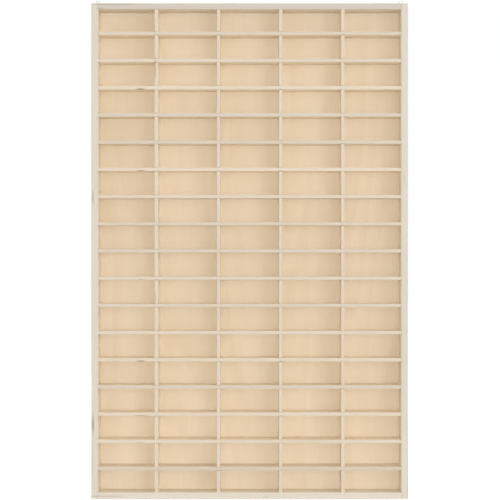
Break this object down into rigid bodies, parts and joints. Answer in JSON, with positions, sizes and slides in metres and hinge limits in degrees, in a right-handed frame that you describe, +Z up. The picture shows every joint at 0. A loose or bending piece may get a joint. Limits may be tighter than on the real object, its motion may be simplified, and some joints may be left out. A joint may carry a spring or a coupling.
{
  "type": "collector display case",
  "caption": "Shallow open wooden wall case: a board frame round an interlocking lattice of shelves and dividers, with a plywood back and two metal hanging eyes.",
  "frame": {"origin": "middle of the case's footprint, on the underside of the bottom board", "axes": "+Z up, +Y from the open front to the back panel, +X to the right seen from the front"},
  "size_m": [0.575, 0.0624, 0.9125],
  "materials": {
    "pine_frame": "sanded, unfinished",
    "lattice_strip": "sanded, unfinished",
    "plywood_panel": "sanded plywood, unfinished",
    "zinc_plate": "zinc plated",
    "bright_steel": "bright wire"
  },
  "bodies": {
    "root": {"side_left": "pine_frame", "side_right": "pine_frame", "top_board": "pine_frame", "bottom_board": "pine_frame", "back_panel": "plywood_panel", "shelf_01": "lattice_strip", "shelf_02": "lattice_strip", "shelf_03": "lattice_strip", "shelf_04": "lattice_strip", "shelf_05": "lattice_strip", "shelf_06": "lattice_strip", "shelf_07": "lattice_strip", "shelf_08": "lattice_strip", "shelf_09": "lattice_strip", "shelf_10": "lattice_strip", "shelf_11": "lattice_strip", "shelf_12": "lattice_strip", "shelf_13": "lattice_strip", "shelf_14": "lattice_strip", "shelf_15": "lattice_strip", "shelf_16": "lattice_strip", "shelf_17": "lattice_strip", "divider_1": "lattice_strip", "divider_2": "lattice_strip", "divider_3": "lattice_strip", "divider_4": "lattice_strip", "hanger_left": "zinc_plate", "hanger_right": "zinc_plate", "hanger_screws": "zinc_plate", "frame_nails": "bright_steel", "panel_pins": "bright_steel"}
  },
  "joints": []
}
